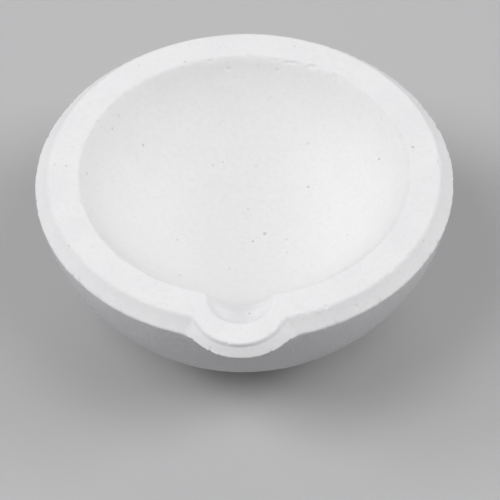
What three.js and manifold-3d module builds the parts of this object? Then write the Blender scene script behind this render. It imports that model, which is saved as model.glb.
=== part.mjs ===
// Melting dish: a thick round bowl of white fired ceramic with a flat foot, a broad level rim,
// a bevel round the rim down to the mould's parting edge, and one rounded pouring lip.
//
// Millimetres, +Z up. The origin is the centre of the foot's face, and the lip points along -Y.

import * as THREE from 'three';
import { mergeVertices } from 'three/addons/utils/BufferGeometryUtils.js';
import Module from 'manifold-3d';

const wasm = await Module();
wasm.setup();

// ---- Driving dimensions: heights below the rim are positive numbers called drops ----

const OVERALL_HEIGHT = 27;

const OUTER_SPHERE_RADIUS = 32.4; // the ball that the underside follows
const OUTER_SPHERE_RISE = 2.73; // its centre above the rim's plane
const PARTING_DROP = 2.1; // rim to the parting edge, the widest line of the dish

const RIM_OUTER_RADIUS = 30.1;
const SHOULDER_ROUNDING = 0.4; // how far the rim's outer corner is rounded, across and down
const STEP_DROP = 0.7; // a steeper step under the rim, before the bevel flares out
const STEP_RADIUS = 30.55;
const MOUTH_RADIUS = 25;
const MOUTH_ROUNDING = 0.4;
const CAVITY_DEPTH = 16;

const LIP_TOP = { radius: 6.8, centre: 27.8, drop: 0 };
const LIP_PARTING = { radius: 8.6, centre: 27, drop: PARTING_DROP };
const LIP_ROOT = { radius: 5.7, centre: 25.3, drop: 6.5 };
const LIP_STEP_RADIUS = 7.1; // the same step, round the lip
const LIP_TRIM_RADIUS = 28; // inside the wall at every height of the lip

const GROOVE_HALF_WIDTH = 4.65; // the pouring groove's outline at the rim is a circle
const GROOVE_CENTRE = 25.8;
const GROOVE_DEPTH = 3;

const ROUND_SEGMENTS = 96;
const LIP_SEGMENTS = 64;
const GROOVE_RINGS = 24;
const PROFILE_DIVISIONS = 5; // segments in a rounded corner; an arc gets twice as many

// ---- Profiles, as radius and height ----

const height = (drop) => OVERALL_HEIGHT - drop;

function sphereRadiusThrough(mouthRadius, depth) {
  return (mouthRadius ** 2 + depth ** 2) / (2 * depth);
}

function dishProfile() {
  const outerCentre = height(-OUTER_SPHERE_RISE);
  const footRadius = Math.sqrt(OUTER_SPHERE_RADIUS ** 2 - outerCentre ** 2);
  const footAngle = Math.atan2(-outerCentre, footRadius);
  const partingAngle = Math.asin(-(PARTING_DROP + OUTER_SPHERE_RISE) / OUTER_SPHERE_RADIUS);

  const cavityRadius = sphereRadiusThrough(MOUTH_RADIUS, CAVITY_DEPTH);
  const cavityCentre = height(CAVITY_DEPTH) + cavityRadius;
  const cavityTop = Math.asin((height(MOUTH_ROUNDING) - cavityCentre) / cavityRadius);

  const profile = new THREE.Path();
  profile.moveTo(0, 0);
  profile.lineTo(footRadius, 0);
  profile.absarc(0, outerCentre, OUTER_SPHERE_RADIUS, footAngle, partingAngle, false);
  profile.lineTo(STEP_RADIUS, height(STEP_DROP));
  profile.lineTo(RIM_OUTER_RADIUS, height(SHOULDER_ROUNDING));
  profile.quadraticCurveTo(
    RIM_OUTER_RADIUS,
    height(0),
    RIM_OUTER_RADIUS - SHOULDER_ROUNDING,
    height(0),
  );
  profile.lineTo(MOUTH_RADIUS + MOUTH_ROUNDING, height(0));
  profile.quadraticCurveTo(
    MOUTH_RADIUS,
    height(0),
    cavityRadius * Math.cos(cavityTop),
    height(MOUTH_ROUNDING),
  );
  profile.absarc(0, cavityCentre, cavityRadius, cavityTop, -Math.PI / 2, true);
  return profile;
}

// ---- Solids ----

// A closed body turned about +Z from a profile that starts and ends on that axis.
function turned(points, segments) {
  return new THREE.LatheGeometry(points, segments).rotateX(Math.PI / 2);
}

function toSolid(geometry) {
  geometry.deleteAttribute('normal');
  geometry.deleteAttribute('uv');
  const merged = mergeVertices(geometry);
  const index = merged.index.array;
  const triangles = [];
  for (let i = 0; i < index.length; i += 3) {
    const [a, b, c] = index.slice(i, i + 3);
    if (a !== b && b !== c && c !== a) triangles.push(a, b, c);
  }
  return new wasm.Manifold(new wasm.Mesh({
    numProp: 3,
    vertProperties: new Float32Array(merged.attributes.position.array),
    triVerts: new Uint32Array(triangles),
  }));
}

function toGeometry(solid) {
  const mesh = solid.getMesh();
  const geometry = new THREE.BufferGeometry();
  geometry.setAttribute('position', new THREE.BufferAttribute(mesh.vertProperties, 3));
  geometry.setIndex(new THREE.BufferAttribute(mesh.triVerts, 1));
  geometry.computeVertexNormals();
  return geometry;
}

// Centre of the lip's round outline at a drop: it moves in towards the bowl as the lip goes down.
function lipCentre(drop) {
  const [from, to] = drop < PARTING_DROP ? [LIP_TOP, LIP_PARTING] : [LIP_PARTING, LIP_ROOT];
  return THREE.MathUtils.mapLinear(drop, from.drop, to.drop, from.centre, to.centre);
}

function lip() {
  const geometry = turned([
    new THREE.Vector2(0, height(LIP_ROOT.drop)),
    new THREE.Vector2(LIP_ROOT.radius, height(LIP_ROOT.drop)),
    new THREE.Vector2(LIP_PARTING.radius, height(LIP_PARTING.drop)),
    new THREE.Vector2(LIP_STEP_RADIUS, height(STEP_DROP)),
    new THREE.Vector2(LIP_TOP.radius, height(0)),
    new THREE.Vector2(0, height(0)),
  ], LIP_SEGMENTS);
  const position = geometry.attributes.position;
  for (let i = 0; i < position.count; i += 1) {
    const drop = OVERALL_HEIGHT - position.getZ(i);
    position.setY(i, position.getY(i) - lipCentre(drop));
  }
  return geometry;
}

// The lip as it stands outside a plug inside the wall, so that none of it is left in the bowl.
function lipOutsideWall() {
  const plug = new THREE.CylinderGeometry(
    LIP_TRIM_RADIUS,
    LIP_TRIM_RADIUS,
    2 * OVERALL_HEIGHT,
    ROUND_SEGMENTS,
  ).rotateX(Math.PI / 2).translate(0, 0, OVERALL_HEIGHT);
  return toSolid(lip()).subtract(toSolid(plug));
}

// A ball that sinks into the rim by the groove's depth, open to the bowl on its inner side.
function grooveBall() {
  const radius = sphereRadiusThrough(GROOVE_HALF_WIDTH, GROOVE_DEPTH);
  return new THREE.SphereGeometry(radius, LIP_SEGMENTS, GROOVE_RINGS)
    .rotateX(Math.PI / 2)
    .translate(0, -GROOVE_CENTRE, height(GROOVE_DEPTH) + radius);
}

function dish() {
  const bowl = toSolid(turned(dishProfile().getPoints(PROFILE_DIVISIONS), ROUND_SEGMENTS));
  return bowl.add(lipOutsideWall()).subtract(toSolid(grooveBall()));
}

// ---- The object ----

const firedCeramic = new THREE.MeshStandardMaterial({
  color: 0xe9e9ea,
  roughness: 0.75,
  metalness: 0,
});

const crucible = new THREE.Mesh(toGeometry(dish()), firedCeramic);
crucible.name = 'crucible_dish';

const group = new THREE.Group();
group.add(crucible);

export default group;
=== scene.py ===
"""White cast ceramic melting dish on a pale studio floor.

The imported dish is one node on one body. Its smooth solid is replaced here by a finer mesh of the
same overall size, with the mould's ragged parting edge, chips, pits and a gritty fired surface.
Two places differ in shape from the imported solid: the lip's lower edge has straight flanks, and
the groove's floor slopes on into the bowl, up to 1.1 mm from the solid's.
Lengths in the shape code are millimetres, with heights measured from the plane of the rim.
"""

import math

import bpy
import numpy as np
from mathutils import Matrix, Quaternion, Vector, noise


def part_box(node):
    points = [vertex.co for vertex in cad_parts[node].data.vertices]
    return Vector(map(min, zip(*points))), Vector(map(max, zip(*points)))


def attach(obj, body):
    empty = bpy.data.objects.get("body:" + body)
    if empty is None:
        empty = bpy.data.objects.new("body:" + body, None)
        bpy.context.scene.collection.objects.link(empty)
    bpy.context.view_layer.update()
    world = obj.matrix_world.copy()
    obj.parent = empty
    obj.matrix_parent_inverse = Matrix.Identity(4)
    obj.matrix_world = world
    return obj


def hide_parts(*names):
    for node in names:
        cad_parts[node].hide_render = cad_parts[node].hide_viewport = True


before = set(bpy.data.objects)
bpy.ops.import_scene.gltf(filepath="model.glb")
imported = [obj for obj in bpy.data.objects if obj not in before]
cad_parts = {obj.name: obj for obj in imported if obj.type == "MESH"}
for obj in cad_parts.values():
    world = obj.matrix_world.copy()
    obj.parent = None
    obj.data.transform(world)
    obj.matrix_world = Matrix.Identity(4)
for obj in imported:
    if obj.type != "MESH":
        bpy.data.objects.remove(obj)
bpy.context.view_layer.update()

NODE = "crucible_dish"
MM = 0.001

# ---- The dish's driving dimensions, millimetres from the rim's plane ----

RIM_HEIGHT = (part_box(NODE)[1].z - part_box(NODE)[0].z) / MM
OUTER_SPHERE_RADIUS = 32.4
OUTER_SPHERE_RISE = 2.73
PARTING_DROP = 2.1
RIM_OUTER_RADIUS = 30.1
SHOULDER_ROUNDING = 0.4
STEP_DROP, STEP_RADIUS = 0.7, 30.55
STEP_ROUNDING = 0.35
MOUTH_RADIUS = 25.0
CAVITY_DEPTH = 16.0

LIP_TOP_RADIUS, LIP_TOP_CENTRE = 6.8, 27.8
LIP_STEP_RADIUS = 7.1
LIP_PARTING_RADIUS, LIP_PARTING_CENTRE = 8.6, 27.0
LIP_ROOT_RADIUS, LIP_ROOT_CENTRE, LIP_ROOT_DROP = 5.7, 25.3, 6.5
LIP_FLANK_ANGLE = math.radians(42.5)  # the way the straight flanks of its lower outline face
LIP_SKEW = math.radians(0.6)  # how far round the lower outline sits from the top one
LIP_CORNER_DROPS = (0, PARTING_DROP, PARTING_DROP + 1.5)
LIP_CORNER_ROUNDINGS = (1.6, 0.3, 2.4)  # of the corners where it leaves the round dish

GROOVE_HALF_WIDTH = 4.65
GROOVE_CENTRE = 25.8
GROOVE_DEPTH = 3.0
GROOVE_SLOPE = 0.5  # how steeply its floor falls towards the bowl
GROOVE_END = 15.0  # inside this distance from the axis only the bowl is left
MOUTH_BLEND = 1.2
GROOVE_BLEND_AT_RIM, GROOVE_BLEND_IN_BOWL = 0.9, 3.0

BOWL_RADIUS = (MOUTH_RADIUS**2 + CAVITY_DEPTH**2) / (2 * CAVITY_DEPTH)
GROOVE_RADIUS = (GROOVE_HALF_WIDTH**2 + GROOVE_DEPTH**2) / (2 * GROOVE_DEPTH)
FOOT_RADIUS = math.sqrt(OUTER_SPHERE_RADIUS**2 - (RIM_HEIGHT + OUTER_SPHERE_RISE) ** 2)
PARTING_RADIUS = math.sqrt(OUTER_SPHERE_RADIUS**2 - (PARTING_DROP + OUTER_SPHERE_RISE) ** 2)

# ---- How fine the mesh is ----

COLUMNS = 896  # round the rim; the underside and bowl use a half, a quarter or an eighth of them
LIP_CROWDING = 0.4  # columns stand closer by this share at the lip, and wider at the back
RIM_RINGS = 24
BAND_RINGS = 12
SHOULDER_RINGS = 5
UNDERSIDE_STEP = 0.6
BOWL_STEP = 0.5
MOUTH_STEP = 0.2  # within the mouth band, the part of the bowl next to its edge
MOUTH_BAND = 2.6
FOOT_STEP = 0.8


# ---- Small maths ----

def smooth_max(a, b, width):
    """The larger of a and b, with their meeting rounded where they differ by less than width."""
    near = np.maximum(width - np.abs(a - b), 0) / width
    return np.maximum(a, b) + near**2 * width / 4


def smooth_min(a, b, width):
    return -smooth_max(-np.asarray(a), -np.asarray(b), width)


def ease(low, high, x):
    """0 below low, 1 above high, and a smooth step between."""
    t = np.clip((x - low) / (high - low), 0, 1)
    return t * t * (3 - 2 * t)


# ---- The dish's surfaces ----

def sphere_radius_at(z):
    return np.sqrt(OUTER_SPHERE_RADIUS**2 - (z - OUTER_SPHERE_RISE) ** 2)


def side_radius(z):
    """Radius of the round dish at a height: the ball below the parting edge, the bevel above."""
    step = RIM_OUTER_RADIUS + (STEP_RADIUS - RIM_OUTER_RADIUS) * -z / STEP_DROP
    flare_slope = (PARTING_RADIUS - STEP_RADIUS) / (PARTING_DROP - STEP_DROP)
    flare = STEP_RADIUS + flare_slope * (-z - STEP_DROP)
    bevel = smooth_max(step, flare, STEP_ROUNDING)
    return np.where(z < -PARTING_DROP, sphere_radius_at(z), bevel)


def lip_radius(angle, z):
    """How far out the lip reaches along a column: a round nose, straight flanks lower down."""
    drops = [0, STEP_DROP, PARTING_DROP, LIP_ROOT_DROP]
    shift = (LIP_TOP_CENTRE - LIP_PARTING_CENTRE) * STEP_DROP / PARTING_DROP
    centres = [LIP_TOP_CENTRE, LIP_TOP_CENTRE - shift, LIP_PARTING_CENTRE, LIP_ROOT_CENTRE]
    radii = [LIP_TOP_RADIUS, LIP_STEP_RADIUS, LIP_PARTING_RADIUS, LIP_ROOT_RADIUS]
    centre = np.interp(-z, drops, centres)
    radius = np.interp(-z, drops, radii)
    flare = np.interp(-z, [STEP_DROP, PARTING_DROP], [0, 1])
    full_turn = 2 * math.pi
    turn = np.abs(np.remainder(angle - LIP_SKEW * flare + math.pi, full_turn) - math.pi)

    reach = np.maximum(radius**2 - (centre * np.sin(turn)) ** 2, 0)
    nose = centre * np.cos(turn) + np.sqrt(reach)

    across, along = math.sin(LIP_FLANK_ANGLE), math.cos(LIP_FLANK_ANGLE)
    tangent_turn = np.arctan2(radius * across, centre + radius * along)
    flank_distance = centre * along + radius
    flank = flank_distance / np.cos(np.minimum(turn, LIP_FLANK_ANGLE) - LIP_FLANK_ANGLE)
    flanked = nose + flare * (flank - nose) * (turn > tangent_turn)
    return np.where((turn < LIP_FLANK_ANGLE / 2) & (-z <= LIP_ROOT_DROP), flanked, 0)


def outline(angle, z):
    """Outer radius of the whole dish along a column, at a height."""
    rounding = np.interp(-z, LIP_CORNER_DROPS, LIP_CORNER_ROUNDINGS)
    return smooth_max(side_radius(z), lip_radius(angle, z), rounding)


def top_height(x, y):
    """Height of the rim, groove and bowl over a point, as one blended surface."""
    radius = np.hypot(x, y)
    inside = np.maximum(BOWL_RADIUS**2 - radius**2, 0)
    bowl = np.where(inside > 0, BOWL_RADIUS - CAVITY_DEPTH - np.sqrt(inside), BOWL_RADIUS)
    past = -y - GROOVE_CENTRE
    below = np.maximum(GROOVE_RADIUS**2 - x**2 - np.maximum(past, 0) ** 2, 0)
    floor = GROOVE_RADIUS - GROOVE_DEPTH - np.sqrt(below) + GROOVE_SLOPE * np.minimum(past, 0)
    groove = np.where((below > 0) & (y < -GROOVE_END), floor, GROOVE_RADIUS)
    rim = smooth_min(0.0, bowl, MOUTH_BLEND)
    in_bowl = ease(MOUTH_RADIUS + 0.5, MOUTH_RADIUS - 2.5, radius)
    blend = GROOVE_BLEND_AT_RIM + (GROOVE_BLEND_IN_BOWL - GROOVE_BLEND_AT_RIM) * in_bowl
    return smooth_min(rim, groove, blend)


# ---- Rings of points from the foot's centre, up the outside, over the rim and down the bowl ----

def column_angles(share):
    """Angles from the lip's middle line, for a ring with COLUMNS / share points."""
    turn = np.arange(0, COLUMNS, share) / COLUMNS * 2 * math.pi
    return turn - LIP_CROWDING * np.sin(turn)


def ring(share, radius, z):
    angle = column_angles(share)
    radius = np.broadcast_to(radius, angle.shape)
    z = np.broadcast_to(z, angle.shape)
    return np.column_stack([radius * np.sin(angle), -radius * np.cos(angle), z])


def underside_share(radius):
    return 8 if radius < 8 else 4 if radius < 17 else 2


def foot_rings():
    radii = np.arange(FOOT_STEP, FOOT_RADIUS, FOOT_STEP)
    return [ring(underside_share(r), r, -RIM_HEIGHT) for r in radii]


def underside_rings():
    low = math.asin(-(RIM_HEIGHT + OUTER_SPHERE_RISE) / OUTER_SPHERE_RADIUS)
    high = math.asin(-(PARTING_DROP + OUTER_SPHERE_RISE) / OUTER_SPHERE_RADIUS)
    steps = int((high - low) * OUTER_SPHERE_RADIUS / UNDERSIDE_STEP)
    rings = []
    for slope in np.linspace(low, high, steps, endpoint=False):
        z = OUTER_SPHERE_RISE + OUTER_SPHERE_RADIUS * math.sin(slope)
        share = underside_share(OUTER_SPHERE_RADIUS * math.cos(slope))
        rings.append(ring(share, outline(column_angles(share), np.array(z)), z))
    return rings


def band_rings():
    angle = column_angles(1)
    rings = []
    for z in np.linspace(-PARTING_DROP, -SHOULDER_ROUNDING, BAND_RINGS):
        rings.append(ring(1, outline(angle, np.array(z)), z))
    edge = outline(angle, np.array(0.0))
    below = outline(angle, np.array(-SHOULDER_ROUNDING))
    for t in np.linspace(0, 1, SHOULDER_RINGS + 1)[1:]:
        start, corner, end = (1 - t) ** 2, 2 * t * (1 - t), t * t
        radius = start * below + corner * edge + end * (edge - SHOULDER_ROUNDING)
        rings.append(ring(1, radius, -start * SHOULDER_ROUNDING))
    return rings


def over_top(share, radius):
    """A ring that lies on the rim, groove and bowl."""
    flat = ring(share, radius, 0)
    flat[:, 2] = top_height(flat[:, 0], flat[:, 1])
    return flat


def rim_rings():
    outer = outline(column_angles(1), np.array(0.0)) - SHOULDER_ROUNDING
    inner = MOUTH_RADIUS + 0.35
    return [over_top(1, inner + (outer - inner) * t) for t in np.linspace(1, 0, RIM_RINGS)[1:]]


def bowl_rings():
    rings = [over_top(1, MOUTH_RADIUS + outside) for outside in (0.2, 0.08)]
    start = math.asin(MOUTH_RADIUS / BOWL_RADIUS)
    along = 0.0
    while along < start * BOWL_RADIUS - BOWL_STEP / 2:
        radius = BOWL_RADIUS * math.sin(start - along / BOWL_RADIUS)
        at_mouth = along < MOUTH_BAND
        share = 1 if at_mouth else 2 if radius > 13 else 4 if radius > 6 else 8
        rings.append(over_top(share, radius))
        along += MOUTH_STEP if at_mouth else BOWL_STEP
    return rings


def bridge(first, a, second, b):
    """Triangles between two rings, given where each starts and how many points it has."""
    faces = []
    if a == b:
        for i in range(a):
            j = (i + 1) % a
            faces.append((first + i, first + j, second + j, second + i))
        return faces
    if a > b:
        for i in range(b):
            j = (i + 1) % b
            near, mid, far = 2 * i, 2 * i + 1, (2 * i + 2) % a
            faces.append((first + near, first + mid, second + i))
            faces.append((first + mid, second + j, second + i))
            faces.append((first + mid, first + far, second + j))
        return faces
    for i in range(a):
        j = (i + 1) % a
        near, mid, far = 2 * i, 2 * i + 1, (2 * i + 2) % b
        faces.append((first + i, second + mid, second + near))
        faces.append((first + i, first + j, second + mid))
        faces.append((first + j, second + far, second + mid))
    return faces


def dish_mesh():
    rings = foot_rings() + underside_rings() + band_rings() + rim_rings() + bowl_rings()
    points = [np.array([[0.0, 0.0, -RIM_HEIGHT]])] + rings
    points.append(np.array([[0.0, 0.0, -CAVITY_DEPTH]]))
    starts = np.cumsum([0] + [len(p) for p in points])
    faces = []
    for i in range(len(rings[0])):
        faces.append((0, 1 + (i + 1) % len(rings[0]), 1 + i))
    for k in range(1, len(points) - 2):
        faces += bridge(int(starts[k]), len(points[k]), int(starts[k + 1]), len(points[k + 1]))
    last, count, pole = int(starts[-3]), len(points[-2]), int(starts[-2])
    for i in range(count):
        faces.append((last + i, last + (i + 1) % count, pole))
    return np.vstack(points), faces


# ---- Wear and casting marks, as small moves along each point's normal ----

LUMP_HEIGHT, LUMP_WIDTH = 0.05, 9.0  # the slow unevenness of the whole casting
GRIT_HEIGHT, GRIT_WIDTH = 0.010, 1.6  # the fine unevenness of the smooth faces
UNDERSIDE_GRIT_HEIGHT = 0.045  # and of the rough underside
PARTING_WIDTH, PARTING_BITE = 0.32, 0.40  # how far the ragged edge spreads, and its depth
MOUTH_WIDTH = 0.55
SHOULDER_WIDTH, SHOULDER_NICK = 0.4, 0.55
FAINTEST = 0.01  # marks weaker than this are left out
PITS, PIT_SEED = 110, 4
WORN_MOUTH_ANGLE = math.radians(27)  # the most worn part of the bowl's edge, from the back to +X
WORN_MOUTH_SPREAD = math.radians(13)
FOOT_BLEND = 1.0  # the marks fade out over this height, so the foot stays flat


def normals_of(points, faces):
    total = np.zeros_like(points)
    for size in (3, 4):
        chosen = np.array([f for f in faces if len(f) == size])
        diagonal_a = points[chosen[:, 2]] - points[chosen[:, 0]]
        diagonal_b = points[chosen[:, -1]] - points[chosen[:, 1]]
        normal = np.cross(diagonal_a, diagonal_b)
        for corner in range(size):
            np.add.at(total, chosen[:, corner], normal)
    return total / np.linalg.norm(total, axis=1)[:, None]


def field(points, wavelength, offset):
    """Smooth noise between about -1 and 1, whose lumps are wavelength across, for each point."""
    shifted = points / wavelength + np.array([offset, -offset, offset * 0.5])
    return np.array([noise.noise(Vector(p)) for p in shifted])


def fractal(points, wavelength, offset, octaves):
    return sum(field(points, wavelength / 2**k, offset + 7 * k) / 2**k for k in range(octaves))


def edge_weight(distance, width):
    return np.exp(-((distance / width) ** 2))


def parting_moves(points, radius, height):
    """The ragged mould line: shallow bites out of a sharp edge, with a little flash between."""
    weight = edge_weight(height + PARTING_DROP, PARTING_WIDTH) * (radius > PARTING_RADIUS - 1.5)
    near = weight > FAINTEST
    moves = np.zeros(len(points))
    line = points[near] * [1, 1, 0.4]
    waver = field(line, 5.0, 31)
    bites = np.maximum(fractal(line, 0.8, 3, 2) - 0.22 + 0.25 * waver, 0)
    grain = fractal(line, 0.6, 17, 2)
    moves[near] = weight[near] * (0.06 * waver - PARTING_BITE * bites + 0.07 * grain)
    return moves


def mouth_moves(points, radius, height):
    """Small crumbs lost from the bowl's edge, most in one worn stretch at the back right."""
    weight = edge_weight(np.hypot(radius - MOUTH_RADIUS, height), MOUTH_WIDTH)
    near = (weight > FAINTEST) & (height > -2)
    moves = np.zeros(len(points))
    local = points[near]
    angle = np.arctan2(local[:, 0], local[:, 1])
    worn = edge_weight(angle - WORN_MOUTH_ANGLE, WORN_MOUTH_SPREAD)
    crumbs = np.maximum(fractal(local, 1.3, 53, 3) - 0.25 + 0.35 * worn, 0)
    moves[near] = -weight[near] * crumbs * (0.35 + 0.55 * worn)
    return moves


def shoulder_moves(points, radius, height):
    """Nicks along the rim's outer edge."""
    outer = outline(np.arctan2(points[:, 0], -points[:, 1]), np.zeros(len(points)))
    weight = edge_weight(np.hypot(radius - outer, height), SHOULDER_WIDTH)
    near = weight > FAINTEST
    moves = np.zeros(len(points))
    nicks = np.maximum(fractal(points[near], 1.1, 71, 3) - 0.42, 0)
    moves[near] = -SHOULDER_NICK * weight[near] * nicks
    return moves


def pit_moves(points, radius, height):
    """Round pits left by air in the casting, on the rim, the bowl's edge and the bevel."""
    chance = np.random.default_rng(PIT_SEED)
    moves = np.zeros(len(points))
    allowed = np.flatnonzero((height > -PARTING_DROP) & (radius > MOUTH_RADIUS - 1.5))
    for start in chance.choice(allowed, PITS, replace=False):
        size = chance.uniform(0.16, 0.42)
        depth = size * chance.uniform(0.25, 0.5)
        close = np.linalg.norm(points - points[start], axis=1) / size
        inside = close < 1
        moves[inside] -= depth * (1 - close[inside] ** 2) ** 1.5
    return moves


def on_underside(radius, height):
    """1 on the outside below the parting edge, 0 on the rim, the bevel and in the bowl."""
    from_bowl = np.sqrt(radius**2 + (height - BOWL_RADIUS + CAVITY_DEPTH) ** 2) - BOWL_RADIUS
    return (from_bowl > 2) * ease(-PARTING_DROP + 0.2, -PARTING_DROP - 0.6, height)


def weathered(points, faces):
    normals = normals_of(points, faces)
    radius = np.hypot(points[:, 0], points[:, 1])
    height = points[:, 2]
    rough = on_underside(radius, height)
    grit = GRIT_HEIGHT + (UNDERSIDE_GRIT_HEIGHT - GRIT_HEIGHT) * rough
    moves = LUMP_HEIGHT * fractal(points, LUMP_WIDTH, 5, 2)
    moves += grit * fractal(points, GRIT_WIDTH, 11, 2)
    moves += parting_moves(points, radius, height)
    moves += mouth_moves(points, radius, height)
    moves += shoulder_moves(points, radius, height)
    moves += pit_moves(points, radius, height)
    standing = ease(-RIM_HEIGHT, -RIM_HEIGHT + FOOT_BLEND, height)
    return points + normals * (moves * standing)[:, None]


# ---- Materials: colour, roughness and grain worked out from each point's own place ----

class Tree:
    """Short ways to add nodes to one material and join them."""

    def __init__(self, name):
        self.material = bpy.data.materials.new(name)
        self.material.use_nodes = True
        self.nodes = self.material.node_tree.nodes
        self.links = self.material.node_tree.links
        self.shader = self.nodes["Principled BSDF"]
        self.place = self.nodes.new("ShaderNodeTexCoord").outputs["Object"]

    def add(self, kind, inputs, **settings):
        node = self.nodes.new("ShaderNode" + kind)
        for key, value in settings.items():
            setattr(node, key, value)
        for key, value in inputs.items():
            self.feed(node.inputs[key], value)
        return node

    def feed(self, socket, value):
        if isinstance(value, bpy.types.NodeSocket):
            self.links.new(value, socket)
        else:
            socket.default_value = value

    def noise(self, wavelength, detail=2.0, stretch=None):
        """Noise from 0 to 1 whose lumps are wavelength across, in millimetres."""
        place = self.place
        if stretch:
            place = self.add("Mapping", {"Vector": place, "Scale": stretch}).outputs["Vector"]
        inputs = {"Vector": place, "Scale": 1 / (wavelength * MM), "Detail": detail}
        return self.add("TexNoise", inputs).outputs["Fac"]

    def ramp(self, value, low, high, to_low=0.0, to_high=1.0):
        """value moved from low..high to to_low..to_high, and held there."""
        inputs = {"Value": value, "From Min": low, "From Max": high}
        inputs.update({"To Min": to_low, "To Max": to_high})
        return self.add("MapRange", inputs, interpolation_type="SMOOTHSTEP").outputs["Result"]

    def math(self, operation, a, b):
        return self.add("Math", {0: a, 1: b}, operation=operation).outputs["Value"]

    def mix(self, share, a, b):
        node = self.add("Mix", {}, data_type="RGBA")
        self.feed(node.inputs[0], share)
        self.feed(node.inputs[6], a)
        self.feed(node.inputs[7], b)
        return node.outputs[2]

    def distance(self, point):
        """Distance of the surface from a point in the dish's frame, in metres."""
        node = self.add("VectorMath", {0: self.place, 1: point}, operation="DISTANCE")
        return node.outputs["Value"]

    def spots(self, spacing, size, share):
        """Scattered round spots, 1 inside one, in a share of cells: sizes in millimetres."""
        inputs = {"Vector": self.place, "Scale": 1 / (spacing * MM)}
        cells = self.add("TexVoronoi", inputs)
        edge = size / 2 / spacing
        spot = self.ramp(cells.outputs["Distance"], edge, edge * 0.5)
        chance = self.add("SeparateColor", {"Color": cells.outputs["Color"]}).outputs["Red"]
        return self.math("MULTIPLY", spot, self.math("LESS_THAN", chance, share))


CLAY_WHITE = (0.85, 0.847, 0.86, 1)
CLAY_SHADE = (0.825, 0.82, 0.835, 1)
CLAY_MOTTLE = (0.805, 0.785, 0.79, 1)
BOWL_TINT = (0.862, 0.855, 0.858, 1)
# Painted shade: a grey standing in for the shade the underside lies in, away from the lights
# above; the clay itself is the same white
UNDERSIDE_PAINTED_SHADE = (0.48, 0.475, 0.485, 1)
IRON_SPOT = (0.36, 0.20, 0.17, 1)
DARK_SPOT = (0.30, 0.28, 0.27, 1)
# Painted highlight: the light caught by the underside's grit, as pale flecks in the colour
GRIT_PAINTED_HIGHLIGHT = (0.93, 0.93, 0.93, 1)

# Specks that can be told apart: distance from the bowl's axis, angle from the lip towards +X,
# and size, in millimetres and degrees. Their heights follow from the surface.
SPECKS = (
    (3.4, 118, 0.42),
    (13.1, 132, 0.30),
    (26.4, 102, 0.38),
    (26.3, 3, 0.28),
    (22.1, 110, 0.34),
    (21.0, 48, 0.30),
    (14.5, 318, 0.30),
    (24.2, 268, 0.34),
    (20.3, 233, 0.30),
    (1.2, 96, 0.30),
)


def speck_mask(tree):
    """1 on the few larger specks."""
    mask = 0.0
    for radius, degrees, size in SPECKS:
        angle = math.radians(degrees)
        x, y = radius * math.sin(angle), -radius * math.cos(angle)
        z = float(top_height(np.array(x), np.array(y))) + RIM_HEIGHT
        away = tree.distance((x * MM, y * MM, z * MM))
        mask = tree.math("MAXIMUM", tree.ramp(away, size * MM, size / 4 * MM), mask)
    return mask


def fired_ceramic_material():
    tree = Tree("fired_ceramic")
    bowl_centre = (0, 0, (RIM_HEIGHT - CAVITY_DEPTH + BOWL_RADIUS) * MM)
    in_bowl = tree.ramp(tree.distance(bowl_centre), (BOWL_RADIUS + 0.25) * MM, BOWL_RADIUS * MM)
    dish_centre = (0, 0, (RIM_HEIGHT + OUTER_SPHERE_RISE) * MM)
    height = tree.add("SeparateXYZ", {"Vector": tree.place}).outputs["Z"]
    inner, outer = (OUTER_SPHERE_RADIUS - 3) * MM, (OUTER_SPHERE_RADIUS - 1) * MM
    skin = tree.ramp(tree.distance(dish_centre), inner, outer)
    parting = RIM_HEIGHT - PARTING_DROP
    low = tree.ramp(height, (parting + 0.1) * MM, (parting - 0.5) * MM)
    underside = tree.math("MULTIPLY", skin, low)

    clouds = tree.ramp(tree.noise(7.0, 3), 0.35, 0.7)
    colour = tree.mix(clouds, CLAY_WHITE, CLAY_SHADE)
    colour = tree.mix(tree.math("MULTIPLY", in_bowl, 0.65), colour, BOWL_TINT)
    colour = tree.mix(tree.ramp(tree.noise(0.7, 3), 0.45, 0.75, 0, 0.5), colour, CLAY_MOTTLE)
    # Painted shade: the outside below the parting edge is darkened towards grey to stand in for
    # the shade it lies in
    colour = tree.mix(tree.math("MULTIPLY", underside, 0.7), colour, UNDERSIDE_PAINTED_SHADE)
    # Painted highlights: pale flecks on the underside where its grit catches the light; the grit's
    # relief itself is in the bumps below
    grit_highlight = tree.math("MULTIPLY", tree.ramp(tree.noise(0.45, 4), 0.56, 0.78, 0, 0.4), underside)
    colour = tree.mix(grit_highlight, colour, GRIT_PAINTED_HIGHLIGHT)
    colour = tree.mix(tree.math("MULTIPLY", tree.spots(3.0, 0.55, 0.55), 0.20), colour, DARK_SPOT)
    colour = tree.mix(tree.math("MULTIPLY", tree.spots(5.5, 0.6, 0.6), 0.25), colour, IRON_SPOT)
    colour = tree.mix(tree.math("MULTIPLY", speck_mask(tree), 0.4), colour, IRON_SPOT)
    tree.feed(tree.shader.inputs["Base Color"], colour)

    roughness = tree.ramp(tree.noise(1.8, 3), 0.3, 0.7, 0.66, 0.86)
    tree.feed(tree.shader.inputs["Roughness"], roughness)
    tree.shader.inputs["Specular IOR Level"].default_value = 0.35

    fine = tree.add("Bump", {
        "Height": tree.noise(0.32, 4),
        "Strength": tree.ramp(underside, 0, 1, 0.45, 0.8),
        "Distance": 0.06 * MM,
    })
    coarse = tree.add("Bump", {
        "Height": tree.noise(1.0, 4),
        "Strength": tree.ramp(underside, 0, 1, 0.5, 1.0),
        "Distance": 0.12 * MM,
        "Normal": fine.outputs["Normal"],
    })
    tree.feed(tree.shader.inputs["Normal"], coarse.outputs["Normal"])
    return tree.material


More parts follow.
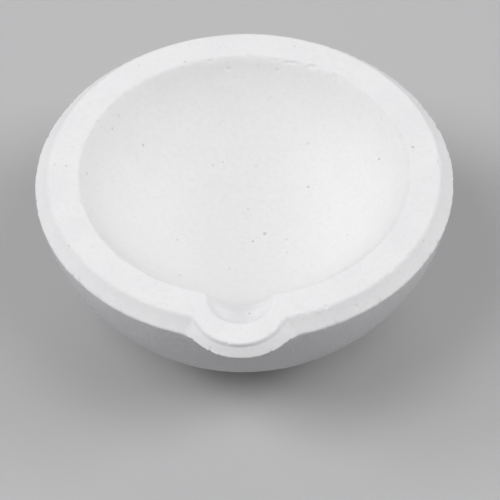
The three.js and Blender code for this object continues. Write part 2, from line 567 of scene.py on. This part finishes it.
def floor_material():
    tree = Tree("studio_floor")
    colour = tree.mix(tree.noise(40.0, 2), (0.50, 0.50, 0.51, 1), (0.52, 0.52, 0.525, 1))
    tree.feed(tree.shader.inputs["Base Color"], colour)
    tree.shader.inputs["Roughness"].default_value = 0.9
    tree.shader.inputs["Specular IOR Level"].default_value = 0.1
    return tree.material


# ---- Pieces ----

def make_dish():
    points, faces = dish_mesh()
    points = weathered(points, faces)
    points[:, 2] += RIM_HEIGHT
    mesh = bpy.data.meshes.new("dish")
    mesh.from_pydata((points * MM).tolist(), [], faces)
    mesh.polygons.foreach_set("use_smooth", [True] * len(mesh.polygons))
    mesh.materials.append(fired_ceramic_material())
    mesh.update()
    dish = bpy.data.objects.new("dish", mesh)
    bpy.context.scene.collection.objects.link(dish)
    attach(dish, "root")
    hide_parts(NODE)


def make_floor():
    corners = 96
    radius = 3.0
    turns = [2 * math.pi * i / corners for i in range(corners)]
    rim = [(radius * math.cos(t), radius * math.sin(t), 0) for t in turns]
    mesh = bpy.data.meshes.new("floor")
    mesh.from_pydata(rim, [], [tuple(range(corners))])
    mesh.materials.append(floor_material())
    floor = bpy.data.objects.new("floor", mesh)
    bpy.context.scene.collection.objects.link(floor)


# ---- Camera and light ----

def make_camera():
    """Looks down on the mouth from just right of the lip, through a long lens."""
    target = Vector((0, 0, RIM_HEIGHT * MM))
    azimuth, elevation = math.radians(2.1), math.radians(46.686)
    back = Vector((
        math.sin(azimuth) * math.cos(elevation),
        -math.cos(azimuth) * math.cos(elevation),
        math.sin(elevation),
    ))
    data = bpy.data.cameras.new("camera")
    data.sensor_width = 36
    data.lens = 252
    data.clip_start, data.clip_end = 0.01, 20
    camera = bpy.data.objects.new("camera", data)
    camera.location = target + back * 0.5354
    roll = Quaternion((0, 0, 1), math.radians(-1.044))
    tilt = Quaternion((1, 0, 0), math.radians(-1.282))
    pan = Quaternion((0, 1, 0), math.radians(-0.097))
    camera.rotation_mode = "QUATERNION"
    camera.rotation_quaternion = (-back).to_track_quat("-Z", "Y") @ roll @ tilt @ pan
    bpy.context.scene.collection.objects.link(camera)
    bpy.context.scene.camera = camera


def soft_box(name, place, size, power):
    data = bpy.data.lights.new(name, "AREA")
    data.shape = "DISK"
    data.size = size
    data.energy = power
    lamp = bpy.data.objects.new(name, data)
    lamp.location = place
    towards = Vector((0, 0, 0.015)) - Vector(place)
    lamp.rotation_mode = "QUATERNION"
    lamp.rotation_quaternion = towards.to_track_quat("-Z", "Y")
    bpy.context.scene.collection.objects.link(lamp)


def from_side(azimuth, elevation, distance=1.2):
    """A place at an azimuth from the lip's side, towards +X, and an elevation, in degrees."""
    turn, rise = math.radians(azimuth), math.radians(elevation)
    level = distance * math.cos(rise)
    return (level * math.sin(turn), -level * math.cos(turn), distance * math.sin(rise))


def make_light():
    world = bpy.data.worlds.new("studio")
    world.use_nodes = True
    background = world.node_tree.nodes["Background"]
    background.inputs["Color"].default_value = (1, 1, 1, 1)
    background.inputs["Strength"].default_value = 0.205
    bpy.context.scene.world = world
    soft_box("left_box", from_side(270, 32), 0.6, 5.4)
    soft_box("right_box", from_side(90, 32), 0.6, 5.0)
    soft_box("back_box", from_side(180, 32), 0.6, 1.7)
    soft_box("high_left_box", from_side(300, 60), 0.6, 3.4)
    soft_box("high_right_box", from_side(60, 60), 0.6, 2.5)
    soft_box("low_front_box", from_side(315, 32), 0.6, 0.35)
    bpy.context.scene.view_settings.view_transform = "Standard"


make_camera()
make_dish()
make_floor()
make_light()
